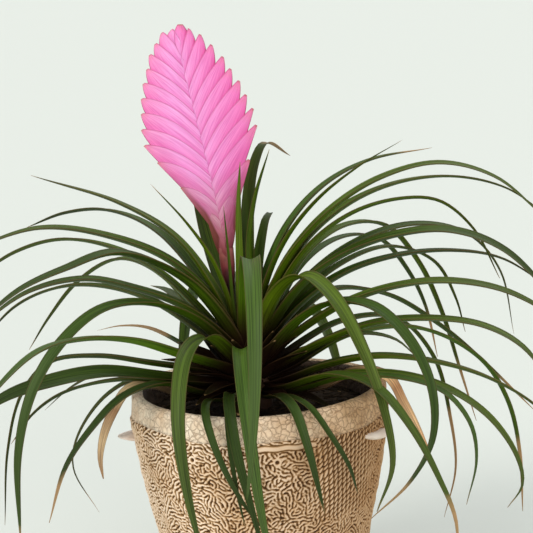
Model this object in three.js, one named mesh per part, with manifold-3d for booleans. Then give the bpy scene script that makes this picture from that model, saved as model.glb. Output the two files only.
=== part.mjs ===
// A pink quill plant in its pot: a rosette of long channelled leaves round a short crown, and one flat
// pink flower spike on a stalk, growing in soil in a tapered earthenware pot. Millimetres, +Z up, origin
// at the middle of the pot's underside. The plant's front, which the spike faces, is -Y.
import * as THREE from "three";
import { mergeVertices } from "three/addons/utils/BufferGeometryUtils.js";
import Module from "manifold-3d";

const wasm = await Module();
wasm.setup();

// Pot
const POT_HEIGHT = 135;
const RIM_RADIUS = 73;
const COLLAR_RADIUS = 74.5;
const COLLAR_HEIGHT = 16;
const BODY = [[51, 0], [57.5, 30], [63, 56], [68.5, 80], [73, 108], [73.5, 117]];
const WALL = 6.5;
const FLOOR = 8;
const EAR_HEIGHT = 108;
const EAR_THICKNESS = 5;
const EARS = [{ azimuth: -22, reach: 6, length: 36 }, { azimuth: 183, reach: 10, length: 30 }];
const POT_SIDES = 36;

// Soil and crown
const SOIL_TOP = 123;
const SOIL_DOME = 3;
const CROWN_X = -5;
const CROWN_FOOT = 112;
const CROWN_TOP = 157;
const CROWN_RADIUS = 13;
const CROWN_TIP_RADIUS = 6.5;

// Flower stalk and spike. The spike is flat and faces the front, so its axis and the tips of its bracts,
// from the top down, are points of [x, z]. The last two points of a side are the spike's narrow foot,
// which carries no tip.
const STALK_RADIUS = 2.5;
const STALK_FOOT = 146;
const SPIKE_FOOT = 205;
const SPIKE_Y = 1;
const SPIKE_AXIS = [
  [-14, 205], [-14.5, 222], [-16.5, 240], [-20, 259], [-23.5, 278], [-27, 296], [-31, 316], [-34, 334],
];
const SPIKE_TOP = [-33.5, 344];
const BRACT_TIPS = {
  left: [
    [-39, 341.5], [-44.5, 340], [-48.5, 334], [-52, 328], [-54, 320], [-56.5, 312], [-58, 303.5],
    [-58.5, 295], [-59, 286], [-58, 277], [-51, 267], [-38.5, 252], [-25, 237], [-18, 222], [-16, 210],
  ],
  right: [
    [-28, 341.5], [-22, 338], [-16, 332], [-10, 325], [-6, 318], [-1.5, 311], [2, 303],
    [5.5, 295], [7, 285.5], [2, 266], [-6.5, 249], [-9, 230], [-11, 212],
  ],
};
const TOOTH_WIDTH = 1.2;
const KEEL_INSET = { left: 1.5, right: 5.5 };
const CLOSE_BRACTS = 8;
const SEAM_TOP = { left: 335.7, right: 324.5 };
const SEAM_SPACING = 8.8;
const SPIKE_HALF_THICKNESS = 4;

// Leaves
const BLADE_THICKNESS = 0.9;
const BLADE_EDGE = 0.6;
const BLADE_STEP = 22;
const CHANNEL_ANGLE = THREE.MathUtils.degToRad(33);
const ROOT_LOW = 127;
const ROOT_HIGH = 150;
const ROOT_REACH = 4;
const CLEARANCE = 0.3;

const GREEN = "#3c5a22";
const DRY = "#b08d62";

// One row for each leaf: the azimuth it leaves the crown at, in degrees from +X towards +Y; how far its
// tip has turned from that azimuth, in degrees; how far its tip has rolled about its own length, in degrees;
// its full width; how much finer than usual its outer half is; and its course as points of reach from the
// crown's axis and height over the ground.
const INNER = [
  { azimuth: -103, turn: 18, width: 6, path: [[11, 185], [12, 215], [13, 245], [15, 267]] },
  { azimuth: 62, width: 11, path: [[6, 190], [8, 221], [12.5, 247], [20, 261.5], [33, 271.5], [65, 260]] },
  { azimuth: -50, width: 6, path: [[6, 190], [6.5, 219], [10, 235], [15, 249], [28, 274]] },
  { azimuth: 32, turn: 35, width: 11,
    path: [[8, 185], [12, 209], [16, 221], [21, 228.5], [30, 231], [42, 228]] },
  { azimuth: 122, width: 16, path: [[15, 176], [30, 200], [42, 224], [50, 248], [54, 268]] },
  { azimuth: 205, width: 7, path: [[12, 190], [20, 212], [34, 234], [54, 258]] },
  { azimuth: 228, width: 3.5, path: [[10.5, 186], [12, 212], [14, 242]] },
  { azimuth: -20, width: 9, path: [[14, 194], [28, 222], [48, 245], [72, 263], [97, 277]] },
];
const LEFT = [
  { azimuth: 172, width: 14, path: [[14, 181], [38, 221], [70, 243], [121, 261]] },
  { azimuth: 151, width: 12, path: [[18, 178], [55, 221], [88, 234], [120, 232], [150, 222]] },
  { azimuth: 185, width: 16, path: [[14, 177], [40, 208], [72, 225], [114, 234], [160, 223]] },
  { azimuth: 160, width: 11, path: [[24, 171], [50, 197], [78, 213], [112, 219], [145, 211], [180, 190]] },
  { azimuth: 205, width: 17, path: [[14, 169], [38, 201], [76, 221], [107, 216], [134, 208], [162, 191]] },
  { azimuth: 147, width: 9, path: [[26, 164], [59, 196], [88, 204], [120, 189], [146, 164], [164, 142]] },
  { azimuth: 193, width: 16, path: [[14, 162], [36, 183], [62, 196], [91, 205], [124, 201], [158, 181]] },
  { azimuth: 170, width: 11, path: [[24, 162], [56, 185], [84, 194], [110, 194], [136, 184], [162, 160]] },
  { azimuth: 218, width: 12,
    path: [[16, 158], [40, 181], [69, 194], [98, 195], [124, 182], [144, 160], [156, 128], [159, 80]] },
  { azimuth: 228, width: 15,
    path: [[20, 147], [56, 163], [93, 179], [128, 187], [158, 187], [184, 176], [208, 158]] },
  { azimuth: 198, width: 10,
    path: [[26, 145], [58, 154], [88, 162], [116, 162], [133, 146], [143, 116], [148, 72]] },
  { azimuth: 208, roll: -60, width: 15,
    path: [[26, 138], [57, 147], [92, 156], [126, 156], [150, 152], [174, 140]] },
  { azimuth: 187, width: 11, path: [[29, 134], [58, 142], [86, 143], [109, 138], [125, 128], [139, 111]] },
  { azimuth: 165, width: 9, path: [[34, 135], [67, 141], [92, 140], [111, 131], [128, 117]] },
  { azimuth: 219, width: 11, path: [[34, 136], [62, 147], [88, 145], [110, 132], [129, 114], [142, 86]] },
  { azimuth: 178, turn: -6, width: 7,
    path: [[30, 133], [62, 141], [84, 131], [103, 106], [107, 86], [94, 58]] },
  { azimuth: 150, width: 6, path: [[26, 145], [46, 156], [68, 164], [88, 164], [105, 160]] },
  { azimuth: 140, width: 20, path: [[20, 148], [38, 168], [53, 181], [64, 186], [74, 187]] },
];
const RIGHT = [
  { azimuth: 15, width: 13, path: [[13, 193], [28, 225], [50, 247], [79, 260], [117, 264]] },
  { azimuth: -8, width: 14, fine: 0.4,
    path: [[13, 180], [26, 207], [50, 234], [80, 253], [114, 261], [145, 252], [174, 226]] },
  { azimuth: 12, width: 14, fine: 0.3,
    path: [[16, 184], [38, 216], [65, 236], [95, 246], [128, 247], [159, 238], [183, 221]] },
  { azimuth: -3, width: 12, fine: 0.3,
    path: [[14, 176], [36, 212], [62, 232], [90, 240], [113, 238], [132, 221], [146, 192]] },
  { azimuth: 36, width: 8,
    path: [[18, 172], [46, 205], [76, 218], [106, 214], [132, 187], [150, 152], [162, 118], [176, 78]] },
  { azimuth: 46, width: 7.5,
    path: [[20, 166], [48, 196], [84, 208], [120, 202], [148, 176], [164, 150], [174, 116]] },
  { azimuth: 22, width: 9, path: [[24, 170], [54, 195], [92, 206], [122, 194], [136, 170], [142, 148]] },
  { azimuth: 17, width: 10, path: [[22, 176], [62, 208], [104, 219], [140, 210], [160, 186], [168, 146]] },
  { azimuth: -14, width: 16,
    path: [[14, 164], [34, 192], [60, 211], [91, 222], [121, 224], [150, 213], [184, 178]] },
  { azimuth: 5, width: 13,
    path: [[16, 162], [34, 181], [60, 197], [91, 205], [121, 206], [150, 200], [178, 181]] },
  { azimuth: -18, width: 15,
    path: [[15, 152], [38, 170], [64, 185], [92, 194], [120, 197], [152, 192], [192, 171]] },
  { azimuth: 32, width: 9, path: [[24, 160], [58, 181], [98, 174], [138, 149], [170, 122], [214, 80]] },
  { azimuth: -28, width: 14,
    path: [[18, 145], [46, 161], [80, 175], [116, 180], [146, 178], [168, 168], [186, 146]] },
  { azimuth: -43, width: 12, fine: 0.3,
    path: [[20, 156], [44, 178], [68, 190], [96, 190], [120, 174], [133, 151], [133, 124],
      [117, 97], [88, 70]] },
  { azimuth: -8, width: 9, path: [[24, 148], [46, 159], [68, 164], [86, 160], [98, 149]] },
  { azimuth: -21, width: 14,
    path: [[22, 137], [50, 148], [80, 154], [114, 152], [144, 144], [170, 129], [188, 107]] },
  { azimuth: -33, width: 12, fine: 0.3,
    path: [[24, 134], [61, 145], [100, 149], [130, 144], [154, 131], [169, 112], [172, 96], [163, 82]] },
  { azimuth: -39, width: 10, fine: 0.3,
    path: [[28, 133], [70, 147], [108, 151], [136, 146], [151, 131], [154, 112], [147, 86]] },
  { azimuth: -52, width: 11, fine: 0.3,
    path: [[34, 138], [78, 153], [112, 151], [138, 134], [157, 112], [169, 92], [170, 70]] },
  { azimuth: 24, width: 8,
    path: [[26, 150], [62, 164], [98, 161], [122, 134], [132, 96], [135, 62], [126, 32]] },
  { azimuth: 13, width: 9,
    path: [[26, 142], [62, 158], [104, 158], [141, 136], [158, 108], [165, 74], [166, 38]] },
];
const FRONT = [
  { azimuth: -84.6, turn: -6.5, width: 12.5,
    path: [[14, 172], [38, 206], [70, 221], [102, 206], [123, 168], [132, 134], [136, 108]] },
  { azimuth: -94.8, turn: 10.5, width: 10.5,
    path: [[17, 150], [38, 164], [62, 168], [86, 154], [101, 120], [107, 82], [108, 56]] },
  { azimuth: -52, width: 14, fine: 0.3,
    path: [[14, 166], [34, 194], [55, 205], [78, 196], [100, 172], [116, 142], [122, 112], [108, 82]] },
  { azimuth: -114, turn: 12, width: 12,
    path: [[24, 156], [56, 175], [90, 172], [114, 146], [124, 108], [128, 72]] },
  { azimuth: -101.5, turn: 15, width: 8,
    path: [[34, 137], [60, 144], [77, 140], [87, 119], [89, 91], [88, 58]] },
  { azimuth: -100.5, turn: 7, width: 5,
    path: [[34, 133], [60, 139.5], [76, 136.5], [84, 118], [85, 96], [84, 76]] },
  { azimuth: -73.5, turn: 10, width: 8,
    path: [[34, 135], [60, 141], [76, 137], [85, 120], [87, 100], [86, 80]] },
  { azimuth: -70, turn: 22, width: 6,
    path: [[34, 135], [60, 140.5], [77, 137.5], [88, 123], [91, 106], [86, 86]] },
  { azimuth: -115.5, turn: 30, width: 6,
    path: [[34, 134], [60, 140], [76, 136], [85, 118], [87, 94], [87, 72]] },
];
const BACK = [
  { azimuth: 92, width: 14, path: [[20, 160], [48, 182], [82, 186], [112, 168], [134, 130], [142, 90]] },
  { azimuth: 110, width: 13, path: [[20, 158], [48, 178], [80, 180], [108, 160], [126, 126], [132, 88]] },
  { azimuth: 66, width: 12, path: [[24, 150], [58, 166], [92, 162], [122, 138], [142, 104], [148, 74]] },
  { azimuth: 100, width: 12, path: [[26, 142], [58, 154], [90, 148], [116, 122], [128, 88], [130, 60]] },
];
const DRIED = [
  { azimuth: 190, roll: -75, width: 11,
    path: [[40, 131], [58, 139.5], [70, 138], [79, 127], [86, 113], [89, 99], [88, 87]] },
  { azimuth: -9, roll: 75, width: 11,
    path: [[42, 132], [63, 141.5], [80, 138.5], [89, 123], [97, 107], [104, 91]] },
];

// three.js geometry and manifold-3d solids
function solidFrom(geometry) {
  const bare = geometry.clone();
  bare.deleteAttribute("normal");
  bare.deleteAttribute("uv");
  const merged = mergeVertices(bare, 1e-4);
  return new wasm.Manifold(
    new wasm.Mesh({
      numProp: 3,
      vertProperties: merged.attributes.position.array,
      triVerts: new Uint32Array(merged.index.array),
    }),
  );
}

function geometryFrom(solid) {
  const { vertProperties, triVerts } = solid.getMesh();
  const geometry = new THREE.BufferGeometry();
  geometry.setAttribute("position", new THREE.BufferAttribute(vertProperties, 3));
  geometry.setIndex(new THREE.BufferAttribute(triVerts, 1));
  return geometry;
}

function largestBody(solid) {
  return solid.decompose().reduce((best, body) => (body.volume() > best.volume() ? body : best));
}

// A closed tube through rings of equal length, with flat fans over its two ends. The second half of its
// sides is split the other way, so that the two faces of a blade are split alike.
function loft(rings) {
  const sides = rings[0].length;
  const index = [];
  for (let ring = 0; ring + 1 < rings.length; ring++) {
    for (let side = 0; side < sides; side++) {
      const a = ring * sides + side;
      const b = ring * sides + ((side + 1) % sides);
      if (side < sides / 2) {
        index.push(a, b, b + sides, a, b + sides, a + sides);
      } else {
        index.push(a, b, a + sides, b, b + sides, a + sides);
      }
    }
  }
  const last = (rings.length - 1) * sides;
  for (let side = 1; side + 1 < sides; side++) {
    index.push(0, side + 1, side);
    index.push(last, last + side, last + side + 1);
  }
  const geometry = new THREE.BufferGeometry().setFromPoints(rings.flat());
  geometry.setIndex(index);
  return geometry;
}

// A turned solid whose axis is +Z, from a profile of [radius, height].
function turned(profile, sides) {
  const points = profile.map(([radius, height]) => new THREE.Vector2(radius, height));
  return new THREE.LatheGeometry(points, sides).rotateX(Math.PI / 2);
}

// Pot: a tapered body, a plain collar with a rounded lip, and an ear on each side under the collar.
function potProfile() {
  const collarFoot = POT_HEIGHT - COLLAR_HEIGHT;
  const [footRadius] = BODY[0];
  return [
    [0, 0],
    [footRadius - 2, 0],
    [footRadius, 2],
    ...BODY.slice(1),
    [COLLAR_RADIUS, collarFoot + 1],
    [COLLAR_RADIUS, POT_HEIGHT - 6],
    [RIM_RADIUS, POT_HEIGHT - 1.5],
    [RIM_RADIUS - WALL / 2, POT_HEIGHT],
    [RIM_RADIUS - WALL, POT_HEIGHT - 2],
    ...roomProfile(0).toReversed(),
  ];
}

// The room inside the pot, up to the soil's edge.
function roomProfile(gap) {
  const [footRadius] = BODY[0];
  return [
    [0, FLOOR + gap],
    [footRadius - WALL - 3 - gap, FLOOR + gap],
    [footRadius - WALL + 1 - gap, FLOOR + 4],
    [BODY[2][0] - WALL - gap, BODY[2][1]],
    [RIM_RADIUS - WALL - 0.5 - gap, SOIL_TOP - SOIL_DOME],
  ];
}

function earSolid({ azimuth, reach, length }) {
  const [wallRadius] = BODY[4];
  const inside = WALL * 0.6;
  const ear = new THREE.SphereGeometry(1, 14, 8).rotateX(Math.PI / 2);
  ear.scale(reach + inside, length / 2, EAR_THICKNESS / 2);
  ear.translate(wallRadius - inside, 0, EAR_HEIGHT);
  ear.rotateZ(THREE.MathUtils.degToRad(azimuth));
  return solidFrom(ear);
}

function potSolid() {
  const room = solidFrom(turned([...roomProfile(0), [0, SOIL_TOP - SOIL_DOME]], POT_SIDES));
  const body = solidFrom(turned(potProfile(), POT_SIDES));
  return EARS.reduce((pot, ear) => pot.add(earSolid(ear).subtract(room)), body);
}

// Soil: fills the room to a little under the rim, with a hole that the crown stands in.
function soilSolid() {
  const profile = [...roomProfile(CLEARANCE), [RIM_RADIUS / 2, SOIL_TOP - SOIL_DOME * 0.2], [0, SOIL_TOP]];
  return solidFrom(turned(profile, POT_SIDES)).subtract(crownCore(CLEARANCE));
}

// Crown: the short stem that every leaf grows from, with the inner leaves that stand up round the flower
// stalk.
function crownCore(grow) {
  const middle = (CROWN_RADIUS + CROWN_TIP_RADIUS) / 2 + 1;
  const profile = [
    [0, CROWN_FOOT - grow],
    [CROWN_RADIUS - 4 + grow, CROWN_FOOT - grow],
    [CROWN_RADIUS + grow, CROWN_FOOT + 6],
    [CROWN_RADIUS + grow, SOIL_TOP + 4],
    [middle + grow, (SOIL_TOP + CROWN_TOP) / 2 + 4],
    [CROWN_TIP_RADIUS + grow, CROWN_TOP + grow],
    [0, CROWN_TOP + grow],
  ];
  return solidFrom(turned(profile, 16).translate(CROWN_X, 0, 0));
}

function crownSolid() {
  const leafy = INNER.reduce((crown, leaf) => crown.add(leafSolid(leaf)), crownCore(0));
  return largestBody(leafy.subtract(stalkSolid(CLEARANCE)));
}

// Flower stalk: a stem inside overlapping sheaths, from its socket in the crown to the spike's foot.
function stalkSolid(grow) {
  const [footX] = SPIKE_AXIS[0];
  const course = new THREE.QuadraticBezierCurve3(
    new THREE.Vector3(CROWN_X - 4, 0, STALK_FOOT),
    new THREE.Vector3(footX + 1, SPIKE_Y, (STALK_FOOT + SPIKE_FOOT) / 2),
    new THREE.Vector3(footX, SPIKE_Y, SPIKE_FOOT - CLEARANCE),
  );
  const steps = 9;
  const rings = [];
  for (let step = 0; step <= steps; step++) {
    const sheath = ((step + 2) % 3) / 3;
    const radius = STALK_RADIUS + sheath + grow;
    rings.push(ringAt(course.getPoint(step / steps), radius, 8));
  }
  return solidFrom(loft(rings));
}

// A level ring, a little flatter from front to back than it is wide.
function ringAt(centre, radius, sides) {
  return Array.from({ length: sides }, (_, side) => {
    const angle = (2 * Math.PI * side) / sides;
    return new THREE.Vector3(
      centre.x + radius * Math.cos(angle),
      centre.y + radius * 0.85 * Math.sin(angle),
      centre.z,
    );
  });
}

// Spike: two ranks of bracts on a slim core. Each bract is folded round the axis with its keel outwards.
// Its upper margin is a seam that runs from the spike's axis out to the tip, over the foot of the bract
// above it.
function flatCourse(points) {
  const raised = points.map(([x, z]) => new THREE.Vector3(x, 0, z));
  return new THREE.CatmullRomCurve3(raised, false, "centripetal");
}

function axisAt(height) {
  const axis = flatCourse(SPIKE_AXIS);
  const [low, high] = [SPIKE_AXIS[0][1], SPIKE_AXIS.at(-1)[1]];
  const share = THREE.MathUtils.clamp((height - low) / (high - low), 0, 1);
  return new THREE.Vector3(axis.getPoint(share).x, 0, height);
}

// Orders count from the top. A bract's tip is a short tooth, and its keel falls from there to the axis
// inside the tips below it.
function bractSolid(side, order) {
  const points = BRACT_TIPS[side].map(([x, z]) => new THREE.Vector3(x, 0, z));
  const inwards = side === "left" ? 1 : -1;
  const tip = points[order];
  const seamTip = tip.clone().add(new THREE.Vector3(inwards * TOOTH_WIDTH, 0, 0.3));
  const seamFoot = axisAt(SEAM_TOP[side] - SEAM_SPACING * order);
  const leftArch = THREE.MathUtils.clamp(0.72 + 0.09 * (order - 3), 0.72, 1);
  const [along, up] = side === "left" ? [0.5, leftArch] : [0.75, 0.5];
  const seamBend = new THREE.Vector3(
    THREE.MathUtils.lerp(seamTip.x, seamFoot.x, along),
    0,
    THREE.MathUtils.lerp(seamFoot.z, seamTip.z, up),
  );
  const keelFoot = axisAt(Math.max(seamFoot.z - 24, SPIKE_FOOT));
  const keelBend = points[order + 2].clone();
  if (order < CLOSE_BRACTS) keelBend.x += inwards * KEEL_INSET[side];
  const seam = new THREE.QuadraticBezierCurve3(seamFoot, seamBend, seamTip);
  const fold = new THREE.QuadraticBezierCurve3(keelFoot, keelBend, tip);
  return foldedBract(seam, fold, side === "left");
}

// A bract between its seam and its keel, the same on the spike's two faces.
function foldedBract(seam, fold, leftwards) {
  const rings = [0, 0.35, 0.65, 0.88, 1].map((t) => {
    const upper = seam.getPoint(t);
    const lower = fold.getPoint(t);
    if (t === 1) lower.z -= 0.8;
    const rise = SPIKE_HALF_THICKNESS * (1 - Math.pow(t, 1.6));
    const section = [
      [upper, rise + 0.6],
      [upper.clone().lerp(lower, 0.5), rise * 0.8 + 0.45],
      [lower, 0.35],
    ];
    const front = section.map(([point, depth]) => new THREE.Vector3(point.x, SPIKE_Y - depth, point.z));
    const back = section.map(([point, depth]) => new THREE.Vector3(point.x, SPIKE_Y + depth, point.z));
    const ring = [...front, ...back.reverse()];
    return leftwards ? ring.reverse() : ring;
  });
  return solidFrom(loft(rings));
}

function topBract() {
  const [x, z] = SPIKE_TOP;
  const foot = axisAt(SEAM_TOP.right);
  const leftBend = new THREE.Vector3(foot.x - 8, 0, foot.z + 12);
  const rightBend = new THREE.Vector3(foot.x + 9, 0, foot.z + 8);
  const lowFoot = foot.clone().setZ(foot.z - 4);
  const left = new THREE.QuadraticBezierCurve3(foot, leftBend, new THREE.Vector3(x - 1.5, 0, z));
  const right = new THREE.QuadraticBezierCurve3(lowFoot, rightBend, new THREE.Vector3(x + 1.5, 0, z));
  return foldedBract(left, right, false);
}

function spikeSolid() {
  const core = SPIKE_AXIS.slice(0, -1).map(([x, z], place) => {
    const radius = 3.4 - 0.3 * place;
    return ringAt(new THREE.Vector3(x, SPIKE_Y, z), radius, 8);
  });
  let spike = solidFrom(loft(core)).add(topBract());
  for (const side of ["left", "right"]) {
    for (let order = 0; order + 2 < BRACT_TIPS[side].length; order++) {
      spike = spike.add(bractSolid(side, order));
    }
  }
  return spike;
}

// Leaves
function leafCourse({ azimuth, turn = 0, path }) {
  const [firstReach, firstHeight] = path[0];
  const launch = Math.atan2(firstHeight - ROOT_LOW, firstReach) / (Math.PI / 2);
  const root = [ROOT_REACH, THREE.MathUtils.lerp(ROOT_LOW, ROOT_HIGH, launch)];
  const points = [root, ...path].map(([reach, height], place) => {
    const share = place / path.length;
    const heading = THREE.MathUtils.degToRad(azimuth + turn * share * share);
    return new THREE.Vector3(CROWN_X + reach * Math.cos(heading), reach * Math.sin(heading), height);
  });
  return new THREE.CatmullRomCurve3(points, false, "centripetal");
}

// A leaf is broadest just above its base and tapers evenly, then quickly, to a fine tip. A finer leaf loses
// more of its width in its outer half.
function widthShare(t, fine) {
  const base = 0.72 + 0.28 * THREE.MathUtils.smoothstep(t, 0, 0.12);
  const outer = 1 - fine * THREE.MathUtils.smoothstep(t, 0.3, 0.8);
  return base * outer * (1 - 0.52 * t) * Math.pow(1 - Math.pow(t, 5), 0.9) + 0.05;
}

// A blade with a channel along its top: six corners at each station, three on each face.
function leafSolid(leaf, grow = 0) {
  const course = leafCourse(leaf);
  const heading = THREE.MathUtils.degToRad(leaf.azimuth + (leaf.turn ?? 0) / 2);
  const sideways = new THREE.Vector3(-Math.sin(heading), Math.cos(heading), 0);
  const stations = Math.max(Math.round(course.getLength() / BLADE_STEP), 5);
  const rings = [];
  for (let station = 0; station <= stations; station++) {
    const t = station / stations;
    const centre = course.getPointAt(t);
    const along = course.getTangentAt(t);
    const level = sideways.clone().addScaledVector(along, -sideways.dot(along)).normalize();
    const roll = THREE.MathUtils.degToRad(leaf.roll ?? 0) * Math.pow(t, 1.5);
    const across = level.applyAxisAngle(along, roll);
    const up = new THREE.Vector3().crossVectors(along, across);
    const half = (leaf.width / 2) * widthShare(t, leaf.fine ?? 0);
    const channel = half * Math.tan(CHANNEL_ANGLE * (1 - 0.7 * t));
    const corner = (sideStep, rise) =>
      centre.clone().addScaledVector(across, sideStep).addScaledVector(up, rise);
    const reach = half + grow;
    rings.push([
      corner(reach, channel - BLADE_EDGE - grow),
      corner(reach, channel + grow),
      corner(0, grow),
      corner(-reach, channel + grow),
      corner(-reach, channel - BLADE_EDGE - grow),
      corner(0, -BLADE_THICKNESS - grow),
    ]);
  }
  return solidFrom(loft(rings));
}

// The leaves are set from the innermost outwards, and each is trimmed clear of the crown, of the stalk and
// of the leaves that were set before it, as leaf bases tuck under each other.
function setLeaves(leaves) {
  const order = leaves
    .map((leaf) => ({ ...leaf, rise: leafCourse(leaf).getPointAt(0.2).z }))
    .sort((a, b) => b.rise - a.rise);
  const inTheWay = [crownCore(CLEARANCE), stalkSolid(CLEARANCE)];
  for (const leaf of INNER) inTheWay.push(leafSolid(leaf, CLEARANCE));
  for (const leaf of order) {
    let solid = leafSolid(leaf);
    for (const other of inTheWay) {
      if (solid.intersect(other).volume() > 0) solid = solid.subtract(other);
    }
    leaf.solid = largestBody(solid);
    inTheWay.push(leafSolid(leaf, CLEARANCE));
  }
  return order;
}

const plant = new THREE.Group();
plant.name = "pink_quill_plant";

function addPiece(name, solid, colour, roughness) {
  const material = new THREE.MeshStandardMaterial({ color: colour, roughness, metalness: 0 });
  const mesh = new THREE.Mesh(geometryFrom(solid), material);
  mesh.name = name;
  plant.add(mesh);
}

addPiece("pot", potSolid(), "#d8bd97", 0.75);
addPiece("soil", soilSolid(), "#2a1d14", 1);
addPiece("crown", crownSolid(), GREEN, 0.55);
addPiece("flower_stalk", stalkSolid(0), "#8f4150", 0.6);
addPiece("flower_spike", spikeSolid(), "#f07fc2", 0.5);

function named(leaves, side, colour) {
  return leaves.map((leaf, place) => {
    const number = String(place + 1).padStart(2, "0");
    return { ...leaf, name: `leaf_${side}_${number}`, colour };
  });
}

const rosette = setLeaves([
  ...named(LEFT, "left", GREEN),
  ...named(RIGHT, "right", GREEN),
  ...named(FRONT, "front", GREEN),
  ...named(BACK, "back", GREEN),
  ...named(DRIED, "dried", DRY),
]);
for (const leaf of rosette) {
  addPiece(leaf.name, leaf.solid, leaf.colour, 0.55);
}

export default plant;
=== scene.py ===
import math
import random

import bpy
import numpy as np
from mathutils import Matrix, Vector


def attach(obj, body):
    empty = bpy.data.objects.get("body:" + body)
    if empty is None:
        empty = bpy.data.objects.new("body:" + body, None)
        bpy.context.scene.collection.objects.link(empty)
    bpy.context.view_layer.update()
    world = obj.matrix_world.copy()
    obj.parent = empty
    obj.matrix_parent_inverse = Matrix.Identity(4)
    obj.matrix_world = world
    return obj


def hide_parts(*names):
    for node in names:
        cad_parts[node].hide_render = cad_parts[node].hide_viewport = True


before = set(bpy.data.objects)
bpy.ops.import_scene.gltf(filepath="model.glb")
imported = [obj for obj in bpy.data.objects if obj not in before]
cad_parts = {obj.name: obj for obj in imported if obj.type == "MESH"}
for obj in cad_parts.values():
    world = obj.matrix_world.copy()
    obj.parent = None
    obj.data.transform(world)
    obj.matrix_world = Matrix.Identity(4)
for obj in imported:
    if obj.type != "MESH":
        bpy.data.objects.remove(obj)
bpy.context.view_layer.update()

# Camera, lamps and floor. The camera stands in front, looks a little down on the plant and leans slightly.
# Three soft lamps stand far off, at the front left, low in front and behind. The floor is plain and pale.
MM = 0.001
PICTURE_SIDE = 533
SENSOR_WIDTH = 36.0
CAMERA_DISTANCE = 1.1
CAMERA_PIXELS_PER_MM = 1.724
CAMERA_PITCH = math.radians(10.5)
CAMERA_ROLL = math.radians(-2.8)
RIM_CENTRE = Vector((0.0, 0.0, 0.135))
RIM_CENTRE_PIXEL = (258, 384)
HALF_FLOOR = 20.0
FLOOR_COLOUR = (0.66, 0.69, 0.64, 1.0)
ROOM_COLOUR = (0.95, 0.98, 1.0, 1.0)
ROOM_BRIGHTNESS = 0.72
LAMPS = [
    ("front_lamp", (-1.0, -1.0, 1.1), 1.3, 25.0, (1.0, 0.98, 0.94)),
    ("low_lamp", (0.3, -1.0, 0.22), 1.1, 40.0, (1.0, 0.98, 0.95)),
    ("back_lamp", (0.6, 1.2, 1.8), 0.8, 40.0, (1.0, 1.0, 0.97)),
]


def in_scene(name, data):
    thing = bpy.data.objects.new(name, data)
    bpy.context.scene.collection.objects.link(thing)
    return thing


def new_finish(name, **settings):
    """A finish, with settings such as Roughness put on its shader's own sockets."""
    finish = bpy.data.materials.new(name)
    finish.use_nodes = True
    for setting, value in settings.items():
        finish.node_tree.nodes["Principled BSDF"].inputs[setting.replace("_", " ")].default_value = value
    return finish


camera_data = bpy.data.cameras.new("camera")
camera = in_scene("camera", camera_data)
focal_pixels = CAMERA_DISTANCE / MM * CAMERA_PIXELS_PER_MM
camera_data.sensor_width = SENSOR_WIDTH
camera_data.lens = focal_pixels * SENSOR_WIDTH / PICTURE_SIDE
camera_turn = Matrix.Rotation(math.pi / 2 - CAMERA_PITCH, 3, "X") @ Matrix.Rotation(CAMERA_ROLL, 3, "Z")
to_rim = Vector((
    (RIM_CENTRE_PIXEL[0] - PICTURE_SIDE / 2) / focal_pixels,
    (PICTURE_SIDE / 2 - RIM_CENTRE_PIXEL[1]) / focal_pixels,
    -1.0,
)) * CAMERA_DISTANCE
camera.location = RIM_CENTRE - camera_turn @ to_rim
camera.rotation_euler = camera_turn.to_euler()
bpy.context.scene.camera = camera

floor_data = bpy.data.meshes.new("floor")
floor_corners = [(x * HALF_FLOOR, y * HALF_FLOOR, 0.0) for x, y in ((-1, -1), (1, -1), (1, 1), (-1, 1))]
floor_data.from_pydata(floor_corners, [], [(0, 1, 2, 3)])
floor_data.materials.append(new_finish("floor_paint", Base_Color=FLOOR_COLOUR, Roughness=0.8))
floor = in_scene("floor", floor_data)

world = bpy.data.worlds.new("studio")
world.use_nodes = True
room = world.node_tree.nodes["Background"]
room.inputs["Color"].default_value = ROOM_COLOUR
room.inputs["Strength"].default_value = ROOM_BRIGHTNESS
bpy.context.scene.world = world
bpy.context.scene.view_settings.view_transform = "Standard"
for lamp_name, direction, strength, softness, lamp_colour in LAMPS:
    lamp = bpy.data.lights.new(lamp_name, "SUN")
    lamp.energy = strength
    lamp.angle = math.radians(softness)
    lamp.color = lamp_colour
    in_scene(lamp_name, lamp).rotation_euler = Vector(direction).to_track_quat("Z", "Y").to_euler()

# Pot wall. A thrown earthenware pot with a plain collar, a rounded and slightly uneven lip and thick walls.
# The body was left dark where the ribs are laid on, and the collar carries a pale, finely cracked slip.
POT_TURNS = 240
POT_HEIGHT = 135.0
POT_FLOOR = 8.5
RIM_RADIUS = 73.0
COLLAR_RADIUS = 74.5
COLLAR_FOOT = 119.0
WALL = 6.5
LIP_HALF_WIDTH = 4.3
LIP_HALF_HEIGHT = 4.0
LIP_SWAY = 0.35
LIP_LIFT = 0.5
RIB_BED = 0.8
RIB_BED_END = (110.0, 116.0)
UNDERSIDE = [(0.0, 0.0), (49.0, 0.0), (50.6, 0.7)]
POT_BODY = [(51.0, 0.0), (57.5, 30.0), (63.0, 56.0), (68.5, 80.0), (73.0, 108.0), (73.6, 117.0)]
BARE_INSIDE = -10.0
CRACK_SCALE = 290.0
CRACK_COLOUR = (0.3, 0.16, 0.07)
DARK_CLAY = ((0.3, (0.05, 0.025, 0.012)), (0.7, (0.12, 0.07, 0.04)))
PALE_SLIP = ((0.3, (0.6, 0.4, 0.23)), (0.45, (0.84, 0.62, 0.42)), (0.65, (0.95, 0.8, 0.61)))
# Painted shade, partly the slip's own tan: the collar's slip is darkened and browned towards the right.
SLIP_TAN_AND_SHADE_TO_RIGHT = ((0.45, (1.0, 1.0, 1.0)), (1.0, (0.8, 0.66, 0.5)))


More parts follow.
